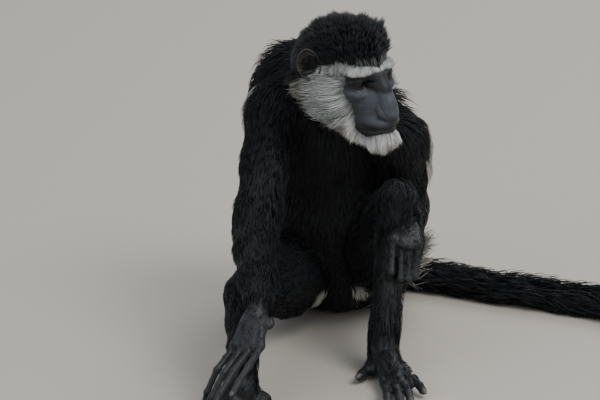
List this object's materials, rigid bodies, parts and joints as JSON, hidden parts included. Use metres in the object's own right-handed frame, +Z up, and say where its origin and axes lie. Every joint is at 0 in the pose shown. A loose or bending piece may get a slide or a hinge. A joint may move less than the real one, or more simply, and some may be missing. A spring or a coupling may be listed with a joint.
{
  "type": "black-and-white colobus monkey",
  "caption": "Seated long-tailed monkey with a cape of long side hair, its hands draped over its shins, tail laid along the floor.",
  "frame": {"origin": "on the floor, in the middle of the flat that the seat rests on, midway between the hips", "axes": "+Z up; the monkey's body faces -Y; +X is its own left, the side its tail runs out to"},
  "size_m": [0.6688, 0.5189, 0.3787],
  "materials": {
    "black_coat": "long glossy black hair",
    "white_coat": "coarse white hair",
    "grey_skin": "bare slate-grey skin",
    "eye_brown": "wet dark brown eye"
  },
  "bodies": {
    "root": {"abdomen": "black_coat", "chest": "black_coat", "ear_left": "grey_skin", "ear_right": "grey_skin", "eye_left": "eye_brown", "eye_right": "eye_brown", "finger_index_left": "grey_skin", "finger_index_right": "grey_skin", "finger_little_left": "grey_skin", "finger_little_right": "grey_skin", "finger_middle_left": "grey_skin", "finger_middle_right": "grey_skin", "finger_ring_left": "grey_skin", "finger_ring_right": "grey_skin", "foot_left": "black_coat", "foot_right": "black_coat", "forearm_left": "black_coat", "forearm_right": "black_coat", "hand_left": "grey_skin", "hand_right": "grey_skin", "head": "white_coat", "jaw": "white_coat", "muzzle": "grey_skin", "neck": "black_coat", "pelvis": "black_coat", "shin_left": "black_coat", "shin_right": "black_coat", "tail_lower": "black_coat", "tail_middle": "black_coat", "tail_root": "black_coat", "tail_tuft": "white_coat", "tail_upper": "black_coat", "thigh_left": "black_coat", "thigh_right": "black_coat", "toe_fifth_left": "grey_skin", "toe_fifth_right": "grey_skin", "toe_fourth_left": "grey_skin", "toe_fourth_right": "grey_skin", "toe_great_left": "grey_skin", "toe_great_right": "grey_skin", "toe_second_left": "grey_skin", "toe_second_right": "grey_skin", "toe_third_left": "grey_skin", "toe_third_right": "grey_skin", "upper_arm_left": "black_coat", "upper_arm_right": "black_coat"}
  },
  "joints": []
}
